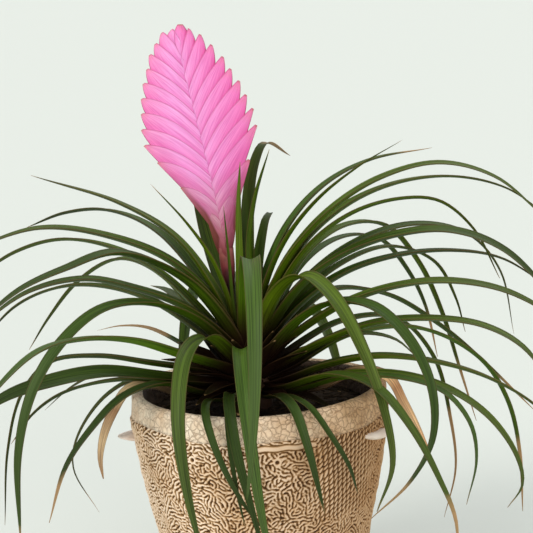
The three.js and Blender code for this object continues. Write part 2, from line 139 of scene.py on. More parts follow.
def tube(ring_count, ring_size):
    """Faces between rings of corners, each ring closed on itself."""
    faces = []
    for ring in range(ring_count - 1):
        for corner in range(ring_size):
            beside = (corner + 1) % ring_size
            low, high = ring * ring_size, (ring + 1) * ring_size
            faces.append((low + corner, low + beside, high + beside, high + corner))
    return faces


def around(count):
    """Even angles, once round."""
    return [2 * math.pi * turn / count for turn in range(count)]


def turned(radius, angle, height, middle=0.0):
    """The place, in mm, that this radius and angle give round an upright middle."""
    return (middle + radius * math.cos(angle), radius * math.sin(angle), height)


def mesh_from(name, corners, faces):
    """A smooth mesh from corners in mm."""
    mesh = bpy.data.meshes.new(name)
    mesh.from_pydata([[measure * MM for measure in corner] for corner in corners], [], faces)
    mesh.shade_smooth()
    return mesh


def marked(mesh, mark, readings):
    """Marks every corner of a mesh with a number, or with four, for its finish to read."""
    kind, field = ("FLOAT_COLOR", "color") if isinstance(readings[0], tuple) else ("FLOAT", "value")
    mesh.attributes.new(mark, kind, "POINT").data.foreach_set(field, np.ravel(readings))


def dressed(name, mesh, finish, slot_name, *replaced):
    """Puts a piece in its finish on the plant's one body, in place of these nodes."""
    piece = in_scene(name, mesh)
    mesh.materials.append(finish)
    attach(piece, "root")
    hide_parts(*replaced)


def put(socket, value):
    """Sets a socket to a value, or links it to another node's output."""
    if isinstance(value, bpy.types.NodeSocket):
        socket.id_data.links.new(value, socket)
    else:
        socket.default_value = value


def node(tree, kind, **inputs):
    """A new node in a finish's tree, with its inputs set or linked."""
    made = tree.nodes.new("ShaderNode" + kind)
    for name, value in inputs.items():
        put(made.inputs[name], value)
    return made


def place_on(finish):
    return node(finish.node_tree, "TexCoord").outputs["Object"]


def read_mark(finish, mark, output="Fac"):
    """What a mesh's corners were marked with, under this name."""
    reading = node(finish.node_tree, "Attribute")
    reading.attribute_name = mark
    return reading.outputs[output]


def reckon(operation, first, *values, kind="Math", output=0):
    """What an operation, such as MULTIPLY, makes of its values."""
    made = node(first.id_data, kind)
    made.operation = operation
    for socket, value in zip(made.inputs, (first, *values)):
        put(socket, value)
    return made.outputs[output]


def scaled(value, factor, shift=0.0):
    return reckon("MULTIPLY_ADD", value, factor, shift)


def measured(place, axis):
    """How far along an axis a place lies, in metres."""
    return node(place.id_data, "SeparateXYZ", Vector=place).outputs[axis]


def noise(place, scale, detail=2.0, roughness=0.5, output="Fac"):
    made = node(place.id_data, "TexNoise", Vector=place, Scale=scale, Detail=detail, Roughness=roughness)
    return made.outputs[output]


def ramp(factor, *stops):
    """The colour or grey that a factor picks between stops of (place, value)."""
    made = node(factor.id_data, "ValToRGB", Fac=factor)
    elements = made.color_ramp.elements
    for place, _ in stops[2:]:
        elements.new(place)
    for element, (place, value) in zip(elements, stops):
        element.position = place
        element.color = (*value, 1.0) if isinstance(value, tuple) else (value, value, value, 1.0)
    return made.outputs["Color"]


def blended(tree, how, factor, low, high):
    made = node(tree, "Mix")
    made.data_type = "RGBA"
    made.blend_type = how
    for socket, value in ((0, factor), (6, low), (7, high)):
        put(made.inputs[socket], (*value, 1.0) if isinstance(value, tuple) else value)
    return made.outputs[2]


def mixed(factor, low, high):
    return blended(factor.id_data, "MIX", factor, low, high)


def tinted(colour, tint):
    return blended(colour.id_data, "MULTIPLY", 1.0, colour, tint)


def coloured(finish, colour):
    put(finish.node_tree.nodes["Principled BSDF"].inputs["Base Color"], colour)


def bumped(finish, height, strength, distance):
    """Fine relief on a finish, where a height of 1 stands out by this distance in metres."""
    bump = node(finish.node_tree, "Bump", Height=height, Strength=strength, Distance=distance)
    put(finish.node_tree.nodes["Principled BSDF"].inputs["Normal"], bump.outputs["Normal"])


def cell_edges(place, scale):
    """How far a place is from the edge of its cell, in a skin of uneven cells."""
    bend = noise(place, scale, 3.0, output="Color")
    bent = reckon("MULTIPLY_ADD", bend, (0.9 / scale,) * 3, place, kind="VectorMath")
    cells = node(place.id_data, "TexVoronoi", Vector=bent, Scale=scale)
    cells.feature = "DISTANCE_TO_EDGE"
    return cells.outputs["Distance"]


def out_at(height, profile):
    """How far out a profile of (distance out, height) lies at a height, in mm."""
    return np.interp(height, [z for _, z in profile], [out for out, _ in profile])


def pot_radius(height):
    return out_at(height, POT_BODY)


def between(low, high, reading):
    """0 up to the low reading and 1 from the high one, with a smooth rise between them."""
    share = np.clip((reading - low) / (high - low), 0.0, 1.0)
    return share * share * (3 - 2 * share)


def collar_border(angle):
    """The height, in mm, of the uneven line where the collar's slip ends."""
    return COLLAR_FOOT + 2.2 + 1.2 * math.sin(2 * angle + 0.6) + 1.1 * math.sin(5 * angle + 2.0)


def bed_depth(height):
    """How far the wall is set back for the ribs, in mm. It comes out again under the collar."""
    return RIB_BED * (1 - between(*RIB_BED_END, height))


body_wall = [(pot_radius(height) - bed_depth(height), height)
             for height in np.linspace(2.0, COLLAR_FOOT - 2.0, 24)]
collar = [(COLLAR_RADIUS - 0.5, COLLAR_FOOT - 0.6), (COLLAR_RADIUS, COLLAR_FOOT + 1.0)]
collar += [(COLLAR_RADIUS - 0.1 * step, COLLAR_FOOT + 2.0 + 1.6 * step) for step in range(6)]
lip = [(RIM_RADIUS - WALL / 2 + LIP_HALF_WIDTH * math.cos(turn),
        POT_HEIGHT - LIP_HALF_HEIGHT + LIP_HALF_HEIGHT * math.sin(turn))
       for turn in np.linspace(0.15, math.pi - 0.15, 9)]
inside_wall = [(RIM_RADIUS - WALL - 0.7, height) for height in (128.0, 122.0)]
inside_wall += [(pot_radius(height) - WALL - 0.5, height) for height in (116.0, 90.0, 60.0, 30.0, 9.0)]
pot_profile = UNDERSIDE + body_wall + collar + lip + inside_wall + [(0.0, POT_FLOOR)]
pot_corners = []
for radius, height in pot_profile:
    collar_share = min(max((height - COLLAR_FOOT + 4.0) / 16.0, 0.0), 1.0)
    for angle in around(POT_TURNS):
        sway = math.sin(3 * angle + 0.8) + 0.6 * math.sin(7 * angle + 2.2) + 0.35 * math.sin(17 * angle)
        out = radius + LIP_SWAY * collar_share * sway if radius else 0.0
        lift = LIP_LIFT * collar_share * (math.sin(2 * angle + 1.9) + 0.5 * math.sin(5 * angle) - 0.5)
        pot_corners.append(turned(out, angle, height + lift))
wall_mesh = mesh_from("pot_wall", pot_corners, tube(len(pot_profile), POT_TURNS))
over_border = []
for x, y, height in pot_corners:
    inside = math.hypot(x, y) < RIM_RADIUS - WALL + 1.0
    over_border.append(BARE_INSIDE if inside else height - collar_border(math.atan2(y, x)))
marked(wall_mesh, "over_border", over_border)

clay = new_finish("earthenware", Roughness=0.78)
clay_place = place_on(clay)
side = measured(clay_place, "X")
dark_clay = ramp(noise(clay_place, 150.0, 4.0), *DARK_CLAY)
# Painted light and shade: the slip is lighter towards the left and browner towards the right, partly its own
# tan and partly the light from the left painted in.
slip_and_painted_light = ramp(scaled(side, -1.4, noise(clay_place, 45.0, 6.0, 0.65)), *PALE_SLIP)
slip_and_painted_light = tinted(slip_and_painted_light, ramp(scaled(side, 7.0, 0.5), *SLIP_TAN_AND_SHADE_TO_RIGHT))
from_crack = cell_edges(clay_place, CRACK_SCALE)
cracked_slip = mixed(ramp(from_crack, (0.0, 0.0), (0.075, 1.0)), CRACK_COLOUR, slip_and_painted_light)
crack_patches = ramp(scaled(side, 3.0, noise(clay_place, 30.0)), (0.35, 0.15), (0.62, 0.9))
cracked_slip = mixed(crack_patches, slip_and_painted_light, cracked_slip)
ragged = scaled(noise(clay_place, 260.0, 4.0), 6.0, -3.0)
slip_reach = scaled(reckon("ADD", ragged, read_mark(clay, "over_border")), 0.25, 0.75)
coloured(clay, mixed(ramp(slip_reach, (0.0, 0.0), (1.0, 1.0)), dark_clay, cracked_slip))
cushions = ramp(from_crack, (0.0, 0.0), (0.12, 0.7), (0.4, 1.0))
grit = noise(clay_place, 700.0, 4.0)
bumped(clay, scaled(cushions, 2.2, grit), 0.7, 0.0006)
dressed("pot_wall", wall_mesh, clay, "earthenware", "pot")

# Ribs. Rolls of pale clay wind over the whole body like worms, close together, with narrow grooves between
# them, brown with the body clay and darkened with painted shade. On the pot's right they are short and stand
# in slanting rows, like knitting. They are lower towards the collar, where one of them lies level at the
# front, and there are two small pits among them.
RIB_SEED = 5
RIB_PITCH = 2.15
RIB_HEIGHT = 1.05
RIB_LOWEST = 0.45
RIB_FADE = 6.0
RIB_STAND = 0.15
RIB_SUNK = 1.2
RIB_WAYS = 10
RIB_ROUNDS = 2
RIB_SPREAD = 0.46
RIB_BEND = 0.95
RIB_SHARPNESS = 1.2
PATCH_SIZE = 7.0
GROOVE_READING = -1.05
CREST_READING = 0.55
HOLLOW_SIZE = 2.2
HOLLOW_DEPTH = 1.1
LUMP_SIZE = 9.0
LUMP_HEIGHT = 0.2
RIB_COLUMNS = 1024
RIB_STEP = 0.4
RIB_SPAN = (2.2, 126.0)
RIB_PIECES = 4
RIB_RADIUS = 66.0
RIB_COLLAR_STEP = (116.0, 120.0)
KNIT_AZIMUTH = -48.0
KNIT_SPREAD = 20.0
KNIT_SLANT = math.radians(62)
KNIT_LENGTH = 5.4
KNIT_PITCH = 1.75
KNIT_LOW = 64.0
PITS = [(-83.0, 108.5), (-121.0, 109.5)]
PIT_RADIUS = 1.2
PIT_ROOM = 2.6
PIT_READING = -1.2
LEVEL_RIB_HEIGHT = 116.6
LEVEL_RIB_START = -96.0
LEVEL_RIB_END = -66.0
# Colours from groove to crest: the dark grooves are partly the body clay and partly painted shade.
CREST_COLOURS_AND_GROOVE_SHADE = (
    (0.0, (0.07, 0.028, 0.004)), (0.25, (0.22, 0.11, 0.03)), (0.55, (0.46, 0.29, 0.14)),
    (0.82, (0.78, 0.56, 0.37)), (1.0, (0.98, 0.78, 0.6)))
RIB_STAIN = ((0.3, (0.8, 0.7, 0.56)), (0.6, (1.0, 1.0, 1.0)))
# Painted shade, partly the ribs' own tan: the ribs are darkened and browned towards the right.
RIB_TAN_AND_SHADE_TO_RIGHT = ((0.3, (1.0, 1.0, 1.0)), (1.0, (0.56, 0.43, 0.28)))

rib_angles = np.arange(RIB_COLUMNS) * 2 * math.pi / RIB_COLUMNS
rib_heights = np.arange(*RIB_SPAN, RIB_STEP)
rib_angle, rib_height = np.meshgrid(rib_angles, rib_heights)
rib_azimuth = (np.degrees(rib_angle) + 180.0) % 360.0 - 180.0
across_rate, upward_rate = np.meshgrid(np.fft.fftfreq(RIB_COLUMNS, 2 * math.pi * RIB_RADIUS / RIB_COLUMNS),
                                       np.fft.fftfreq(len(rib_heights), RIB_STEP))
wave_rate = np.hypot(across_rate, upward_rate)
wave_way = np.arctan2(upward_rate, across_rate)


def unevenness(seed, size):
    """Smooth random readings over the unrolled body, about -2 to 2, that change over this many mm."""
    rough = np.random.default_rng(seed).standard_normal(rib_angle.shape)
    smooth_rough = np.fft.ifft2(np.fft.fft2(rough) * np.exp(-(wave_rate * size) ** 2)).real
    return smooth_rough / smooth_rough.std()


def turn_between(way, other):
    """The turn from one way to another, where a way and its opposite are the same."""
    return (way - other + math.pi / 2) % math.pi - math.pi / 2


def worms(seed):
    """Grooves and ridges side by side, from -1 to 1, that turn from one patch to the next."""
    slant = 0.5 * np.arctan2(unevenness(seed + 1, PATCH_SIZE), unevenness(seed + 2, PATCH_SIZE))
    ring = ((wave_rate * RIB_PITCH - 1) / RIB_SPREAD) ** 2
    pattern = np.random.default_rng(seed).standard_normal(rib_angle.shape)
    for _ in range(RIB_ROUNDS):
        waves, combined, whole = np.fft.fft2(pattern), 0.0, 0.0
        for way in np.arange(RIB_WAYS) * math.pi / RIB_WAYS:
            share = np.exp(-((turn_between(slant, way) * RIB_WAYS / math.pi) ** 2))
            kept = np.exp(-ring - (turn_between(wave_way, way + math.pi / 2) / RIB_BEND) ** 2)
            combined = combined + share * np.fft.ifft2(waves * kept).real
            whole = whole + share
        pattern = combined / whole
        pattern = np.tanh(RIB_SHARPNESS * pattern / pattern.std() - 0.1)
    return pattern


sway = unevenness(RIB_SEED + 3, PATCH_SIZE)
round_body = rib_angle * RIB_RADIUS
sideways = rib_height * math.cos(KNIT_SLANT) - round_body * math.sin(KNIT_SLANT) + 0.25 * sway
lengthwise = rib_height * math.sin(KNIT_SLANT) + round_body * math.cos(KNIT_SLANT) + 0.4 * sway
knitted = np.cos(2 * math.pi * sideways / KNIT_PITCH)
knitted += 1.5 * np.cos(math.pi * sideways / KNIT_PITCH) * np.cos(2 * math.pi * lengthwise / KNIT_LENGTH)
knit_share = np.exp(-(((rib_azimuth - KNIT_AZIMUTH) / KNIT_SPREAD) ** 4))
knit_share *= between(KNIT_LOW, KNIT_LOW + 10.0, rib_height)
pattern = worms(RIB_SEED) - HOLLOW_DEPTH * between(0.7, 1.5, unevenness(RIB_SEED + 4, HOLLOW_SIZE))
pattern += (np.clip(knitted / 1.15 - 0.3, -1.0, 1.0) - pattern) * knit_share
level_share = between(LEVEL_RIB_START - 1.0, LEVEL_RIB_START, rib_azimuth)
level_share *= between(-LEVEL_RIB_END - 1.0, -LEVEL_RIB_END, -rib_azimuth)
from_level = np.abs(rib_height - LEVEL_RIB_HEIGHT - 0.3 * np.sin(40 * rib_angle)) / RIB_PITCH
pattern += (np.cos(math.pi * from_level) - pattern) * level_share * between(-1.1, -0.9, -from_level)
for azimuth, height in PITS:
    from_pit = np.hypot(np.radians(rib_azimuth - azimuth) * pot_radius(height), rib_height - height)
    pit = PIT_READING + (1.0 - PIT_READING) * between(PIT_RADIUS * 0.6, PIT_RADIUS * 1.5, from_pit)
    pattern += (pit - pattern) * between(-PIT_ROOM, -PIT_ROOM * 0.8, -from_pit)
crest_share = np.clip((pattern - GROOVE_READING) / (CREST_READING - GROOVE_READING), 0.0, 1.0)
crest = np.sin(math.pi / 2 * crest_share)
to_border = np.array([collar_border(angle) for angle in rib_angles]) - rib_height
shown = between(0.0, 0.9, to_border) * between(RIB_SPAN[0], RIB_SPAN[0] + 1.0, rib_height)
relief = RIB_HEIGHT * np.clip(to_border / RIB_FADE, RIB_LOWEST, 1.0) * crest
lumps = LUMP_HEIGHT * unevenness(RIB_SEED + 5, LUMP_SIZE).clip(-1.5, 1.5)
rib_foot = pot_radius(rib_height)
rib_foot += (COLLAR_RADIUS - POT_BODY[-1][0]) * between(*RIB_COLLAR_STEP, rib_height)
rib_out = rib_foot + shown * (relief + lumps + RIB_STAND - bed_depth(rib_height) * 0.7)
rib_out -= (1 - shown) * RIB_SUNK

rib_clay = new_finish("rib_clay", Roughness=0.75, Specular_IOR_Level=0.3)
rib_place = place_on(rib_clay)
# Painted shade: the grooves are coloured dark, partly the body clay and partly shade painted in.
rib_colour = ramp(read_mark(rib_clay, "crest"), *CREST_COLOURS_AND_GROOVE_SHADE)
rib_colour = tinted(rib_colour, ramp(noise(rib_place, 32.0, 4.0), *RIB_STAIN))
# Painted shade: the ribs are darker and browner towards the right, partly their own tan and partly the light
# from the left painted in.
rib_tan_and_shade_tint = ramp(scaled(measured(rib_place, "X"), 7.0, 0.5), *RIB_TAN_AND_SHADE_TO_RIGHT)
coloured(rib_clay, tinted(rib_colour, rib_tan_and_shade_tint))
bumped(rib_clay, noise(rib_place, 900.0, 3.0), 0.4, 0.0004)
quarter = RIB_COLUMNS // RIB_PIECES
for piece in range(RIB_PIECES):
    columns = np.arange(piece * quarter, (piece + 1) * quarter + 1) % RIB_COLUMNS
    angle, out, height = rib_angle[:, columns], rib_out[:, columns], rib_height[:, columns]
    corners = np.stack([out * np.cos(angle), out * np.sin(angle), height], axis=-1).reshape(-1, 3)
    low = (np.arange(len(rib_heights) - 1)[:, None] * (quarter + 1) + np.arange(quarter)).ravel()
    faces = np.stack([low, low + 1, low + quarter + 2, low + quarter + 1], axis=-1)
    rib_mesh = mesh_from(f"pot_ribs_{piece + 1}", corners.tolist(), faces.tolist())
    marked(rib_mesh, "crest", crest[:, columns].ravel().tolist())
    dressed(rib_mesh.name, rib_mesh, rib_clay, "earthenware")

# Ears. A flat lug of pale clay is pressed on to each side of the pot, just under the collar, and smoothed
# by hand. The right one is longer and hangs a little.
EARS = [(-24.0, 6.0, 36.0, 110.0, 5.6, 9.0), (183.0, 10.0, 21.0, 109.0, 3.6, 0.0)]
EAR_TURNS = 28
EAR_RINGS = 14
EAR_FLATNESS = 0.8
EAR_UNEVENNESS = 0.3
EAR_ROOT = WALL * 0.6
EAR_COLOURS = ((0.3, (0.74, 0.58, 0.46)), (0.7, (0.92, 0.8, 0.7)))

ear_clay = new_finish("ear_clay", Roughness=0.6)
ear_place = place_on(ear_clay)
coloured(ear_clay, ramp(noise(ear_place, 90.0, 4.0), *EAR_COLOURS))
bumped(ear_clay, noise(ear_place, 260.0, 4.0), 0.4, 0.001)
for number, (azimuth, reach, length, ear_height, ear_thickness, tilt) in enumerate(EARS, 1):
    lean = Matrix.Rotation(math.radians(azimuth), 3, "Z") @ Matrix.Rotation(-math.radians(tilt), 3, "X")
    ear_corners = []
    for ring in range(EAR_RINGS + 1):
        rise = math.pi * ring / EAR_RINGS - math.pi / 2
        flat = math.copysign(abs(math.sin(rise)) ** EAR_FLATNESS, math.sin(rise))
        for turn in around(EAR_TURNS):
            spot = Vector((
                RIM_RADIUS - EAR_ROOT + (reach + EAR_ROOT) * math.cos(rise) * math.cos(turn),
                length / 2 * math.cos(rise) * math.sin(turn),
                ear_thickness / 2 * flat + EAR_UNEVENNESS * math.sin(3 * turn),
            ))
            ear_corners.append(lean @ spot + Vector((0.0, 0.0, ear_height)))
    ear_mesh = mesh_from(f"pot_ear_{number}", ear_corners, tube(EAR_RINGS + 1, EAR_TURNS))
    dressed(ear_mesh.name, ear_mesh, ear_clay, "earthenware")

# Soil. A dark moist mix of peat and bark chips fills the pot to a little under its rim. The chips lie at
# all angles on the surface, and the whole surface is lumpy.
SOIL_TOP = 123.0
SOIL_EDGE = 66.0
SOIL_DOME = 3.0
SOIL_RINGS = 34
SOIL_TURNS = 120
SKIRT_RADIUS = 50.0
SKIRT_HEIGHT = 30.0
CHIP_COUNT = 420
CHIP_SIZES = ((1.6, 4.2), (0.9, 2.2), (0.4, 0.9))
CHIP_TILT = 0.3
CHIP_CORNERS = ((-1, -1, -1), (1, -0.8, -1), (0.9, 1, -1), (-0.9, 0.8, -1),
                (-0.8, -0.7, 1), (0.9, -0.7, 1), (0.7, 0.8, 1), (-0.7, 0.6, 1))
CHIP_FACES = ((3, 2, 1, 0), (4, 5, 6, 7), (0, 1, 5, 4), (1, 2, 6, 5), (2, 3, 7, 6), (3, 0, 4, 7))
SOIL_COLOURS = ((0.3, (0.012, 0.008, 0.005)), (0.55, (0.035, 0.022, 0.013)), (0.8, (0.09, 0.05, 0.026)))
soil_draw = random.Random(11)

soil_corners = []
for ring in range(SOIL_RINGS + 1):
    share = ring / SOIL_RINGS
    for angle in around(SOIL_TURNS):
        x, y, height = turned(SOIL_EDGE * share, angle, SOIL_TOP - 0.6 - SOIL_DOME * share ** 2)
        lump = 0.8 * math.sin(0.31 * x + 1.2 * math.sin(0.19 * y))
        lump *= math.sin(0.27 * y + 0.9 * math.sin(0.23 * x))
        lump += soil_draw.uniform(-0.5, 0.5)
        soil_corners.append((x, y, height + lump * 0.7))
soil_corners += [turned(SKIRT_RADIUS, angle, SKIRT_HEIGHT) for angle in around(SOIL_TURNS)]
soil_faces = tube(SOIL_RINGS + 2, SOIL_TURNS)
for _ in range(CHIP_COUNT):
    out = SOIL_EDGE * math.sqrt(soil_draw.uniform(0.0, 0.93))
    angle = soil_draw.uniform(0.0, 2 * math.pi)
    spot = Vector(turned(out, angle, SOIL_TOP - 0.8 - SOIL_DOME * (out / SOIL_EDGE) ** 2))
    size = Vector([soil_draw.uniform(*span) for span in CHIP_SIZES])
    lie = Matrix.Rotation(soil_draw.uniform(0, math.pi), 3, "Z")
    lie = lie @ Matrix.Rotation(soil_draw.gauss(0, CHIP_TILT), 3, "X")
    first = len(soil_corners)
    for corner in CHIP_CORNERS:
        soil_corners.append(spot + lie @ Vector([share * half for share, half in zip(corner, size)]))
    for face in CHIP_FACES:
        soil_faces.append(tuple(first + corner for corner in face))
soil_mix = new_finish("soil_mix", Roughness=1.0, Specular_IOR_Level=0.1)
soil_place = place_on(soil_mix)
coloured(soil_mix, ramp(noise(soil_place, 240.0, 5.0, 0.65), *SOIL_COLOURS))
bumped(soil_mix, noise(soil_place, 500.0, 4.0), 0.7, 0.001)
dressed("soil_surface", mesh_from("soil_surface", soil_corners, soil_faces), soil_mix, "soil", "soil")

# Crown. The short stem in the middle of the rosette, wrapped in the dark red-brown bases of the leaves,
# and the small inner leaves that stand up round the flower stalk. It is rooted in the soil.
CROWN_X = -5.0
CROWN_PROFILE = [
    (0.0, 112.0), (9.0, 112.0), (13.0, 118.0), (13.0, 127.0), (11.0, 144.0), (6.6, 157.0), (0.0, 158.0)]
CROWN_TURNS = 48
CROWN_COLOURS = ((0.3, (0.02, 0.006, 0.004)), (0.7, (0.07, 0.03, 0.012)))
ROOT_REACH = 4.0
ROOT_LOW = 127.0
ROOT_HIGH = 150.0
STATION_GAP = 4.0
CURVE_STEPS = 24
BLADE_COLUMNS = [-1.0, -0.93, -0.75, -0.5, -0.25, -0.08, 0.08, 0.25, 0.5, 0.75, 0.93, 1.0]
CHANNEL_ANGLE = math.radians(33)
BLADE_THICKNESS = 0.75
EDGE_THICKNESS = 0.4
BASE_WIDTH = 0.72
BASE_LENGTH = 0.12
LEAF_TAPER = 0.52
TIP_WIDTH = 0.05
FULL_THICKNESS_FROM = 2.5
INNER_LEAVES = [
    (-103, 18, 6, [(11, 185), (12, 215), (13, 245), (15, 267)]),
    (62, 0, 11, [(6, 190), (8, 221), (12.5, 247), (20, 261.5), (33, 271.5), (65, 260)]),
    (-50, 0, 6, [(6, 190), (6.5, 219), (10, 235), (15, 249), (28, 274)]),
    (32, 35, 11, [(8, 185), (12, 209), (16, 221), (21, 228.5), (30, 231), (42, 228)]),
    (122, 0, 16, [(15, 176), (30, 200), (42, 224), (50, 248), (54, 268)]),
    (205, 0, 7, [(12, 190), (20, 212), (34, 234), (54, 258)]),
    (228, 0, 3.5, [(10.5, 186), (12, 212), (14, 242)]),
    (-20, 0, 9, [(14, 194), (28, 222), (48, 245), (72, 263), (97, 277)]),
]
INNER_DRY_TIPS = {2: 0.2, 6: 0.08}
DRY_TIP = 0.03
SHEATH_COUNT = 44
SHEATH_RISES = (12.0, 55.0, 28.0, 70.0, 42.0)
SHEATH_LENGTH = 46.0
SHEATH_WIDTH = 15.0
SHEATH_SAG = 0.25
SHEATH_REACH = 10.0
SHEATH_LOW = 130.0
SHEATH_CLIMB = 14.0
GOLDEN_ANGLE = 137.5
DARK_TONE = 0.22
LEAF_TONES = (
    (0.0, (1.05, 1.15, 0.88)), (DARK_TONE, (0.56, 0.6, 0.45)), (0.5, (0.95, 0.9, 0.6)),
    (1.0, (1.32, 1.15, 0.75)))
LEAF_LINES = ((0.33, 0.45), (0.65, 1.32))
BRONZE = (0.11, 0.065, 0.024)
BRONZE_MARGIN = ((0.45, 0.0), (0.495, 0.65))
HEART = (CROWN_X * MM, 0.0, 0.127)
# Dark red-brown near the heart: partly the leaf bases' own colour and partly painted shade.
BASE_AND_HEART_SHADE = (0.014, 0.005, 0.002)
BASE_AND_HEART_SHADE_FADE = ((0.3, 0.0), (0.46, 0.42), (0.72, 1.0))
DRY_COLOUR = (0.36, 0.22, 0.1)
SHEATH_UNDER = ((0.0, (0.014, 0.004, 0.001)), (0.5, (0.012, 0.007, 0.002)), (1.0, (0.014, 0.02, 0.003)))
SHEATH_UPPER = ((0.0, (0.01, 0.003, 0.001)), (0.5, (0.01, 0.006, 0.002)), (1.0, (0.012, 0.018, 0.003)))
# Painted light: the undersides are brighter green, with light shining through the leaf painted in.
INNER_UNDER_AND_PAINTED_GLOW = (
    (0.0, (0.03, 0.006, 0.002)), (0.2, (0.05, 0.05, 0.004)), (0.4, (0.075, 0.14, 0.004)),
    (1.0, (0.07, 0.11, 0.008)))
INNER_UPPER = (
    (0.0, (0.025, 0.006, 0.002)), (0.2, (0.035, 0.05, 0.005)), (0.5, (0.05, 0.095, 0.008)),
    (1.0, (0.06, 0.085, 0.014)))
leaf_draw = random.Random(3)


def course_through(points):
    """Even stations along a centripetal curve through the points, and the curve's direction at each."""
    points = [np.array(point, float) for point in points]
    ends = [2 * points[0] - points[1]] + points + [2 * points[-1] - points[-2]]
    shares = np.linspace(0.0, 1.0, CURVE_STEPS)[:, None]
    fine = []
    for before, start, end, after in zip(ends, ends[1:], ends[2:], ends[3:]):
        spans = ((before, start), (start, end), (end, after))
        first, second, third = (np.linalg.norm(far - near) ** 0.5 for near, far in spans)
        entry, chord, departure = (start - before) / first, (end - start) / second, (after - end) / third
        leave = second * (entry - (end - before) / (first + second) + chord)
        arrive = second * (chord - (after - start) / (second + third) + departure)
        bend = -3 * start + 3 * end - 2 * leave - arrive
        twist = 2 * start - 2 * end + leave + arrive
        fine.append(start + leave * shares + bend * shares ** 2 + twist * shares ** 3)
    fine = np.concatenate(fine)
    lengths = np.concatenate([[0.0], np.cumsum(np.linalg.norm(np.diff(fine, axis=0), axis=1))])
    stations = np.linspace(0.0, lengths[-1], max(int(lengths[-1] / STATION_GAP), 8) + 1)
    even = np.stack([np.interp(stations, lengths, fine[:, axis]) for axis in range(3)], axis=1)
    ways = np.gradient(even, axis=0)
    return even, ways / np.linalg.norm(ways, axis=1)[:, None]


def leaf_points(azimuth, turn, path):
    """A leaf's course from the crown, in mm, from its reach and height at each point."""
    launch = math.atan2(path[0][1] - ROOT_LOW, path[0][0]) / (math.pi / 2)
    root = (ROOT_REACH, ROOT_LOW + (ROOT_HIGH - ROOT_LOW) * launch)
    points = []
    for place, (reach, height) in enumerate([root] + path):
        heading = math.radians(azimuth + turn * (place / len(path)) ** 2)
        points.append(turned(reach, heading, height, CROWN_X))
    return points


def width_share(along, fine):
    """A leaf is broadest just above its clasping base and tapers evenly, then quickly, to a fine tip."""
    base = BASE_WIDTH + (1 - BASE_WIDTH) * between(0.0, BASE_LENGTH, along)
    base *= 1 - fine * between(0.3, 0.8, along)
    return base * (1 - LEAF_TAPER * along) * (1 - along ** 5) ** 0.9 + TIP_WIDTH


def closed_tube(ring_count, ring_size):
    """The faces of a tube and of its two ends."""
    last = (ring_count - 1) * ring_size
    faces = tube(ring_count, ring_size)
    return faces + [tuple(range(ring_size))[::-1], tuple(range(last, last + ring_size))]


def blade_mesh(name, azimuth, turn, width, path, twist=0.0, fine=0.0, dry_tip=DRY_TIP, dark=False):
    """A channelled leaf, marked with how far along and across it a place is, its face and its tone."""
    course, ways = course_through(leaf_points(azimuth, turn, path))
    heading = math.radians(azimuth + turn / 2)
    sideways = np.array([-math.sin(heading), math.cos(heading), 0.0])
    drawn_tone = leaf_draw.random()
    # Painted shade: leaves marked dark take the darkest tone because they lie in shade.
    tone = DARK_TONE if dark else drawn_tone
    corners, readings = [], []
    for station, (centre, along) in enumerate(zip(course, ways)):
        share = station / (len(course) - 1)
        level = sideways - along * sideways.dot(along)
        level /= np.linalg.norm(level)
        upright = np.cross(along, level)
        roll = twist * share ** 1.5
        across = level * math.cos(roll) + upright * math.sin(roll)
        up = upright * math.cos(roll) - level * math.sin(roll)
        half = width / 2 * width_share(share, fine)
        channel = half * math.tan(CHANNEL_ANGLE * (1 - 0.7 * share))
        thin = min(1.0, half / FULL_THICKNESS_FROM)
        for face in (1.0, 0.0):
            for column in (BLADE_COLUMNS if face else BLADE_COLUMNS[::-1]):
                rise = channel * (0.35 * abs(column) + 0.65 * column ** 2)
                thickness = BLADE_THICKNESS + (EDGE_THICKNESS - BLADE_THICKNESS) * column ** 2
                depth = 0.0 if face else thickness * thin
                corners.append(centre + across * half * column + up * (rise - depth))
                readings.append((share, column / 2 + 0.5, face, tone))
    faces = closed_tube(len(course), 2 * len(BLADE_COLUMNS))
    mesh = mesh_from(name, corners, [face[::-1] for face in faces])
    marked(mesh, "blade", readings)
    marked(mesh, "dry", [(share - 1.0 + dry_tip) / 0.05 for share, *_ in readings])
    return mesh


def streaks(across, along, tone):
    """Noise in fine lines that differ from piece to piece."""
    place = node(tone.id_data, "CombineXYZ", X=across, Y=along, Z=tone)
    return noise(place.outputs["Vector"], 1.0, 3.0)


def read_parts(finish, mark):
    """The first three of the four numbers that a mesh's corners were marked with."""
    parts = node(finish.node_tree, "SeparateColor", Color=read_mark(finish, mark, "Color"))
    return [parts.outputs[part] for part in ("Red", "Green", "Blue")]


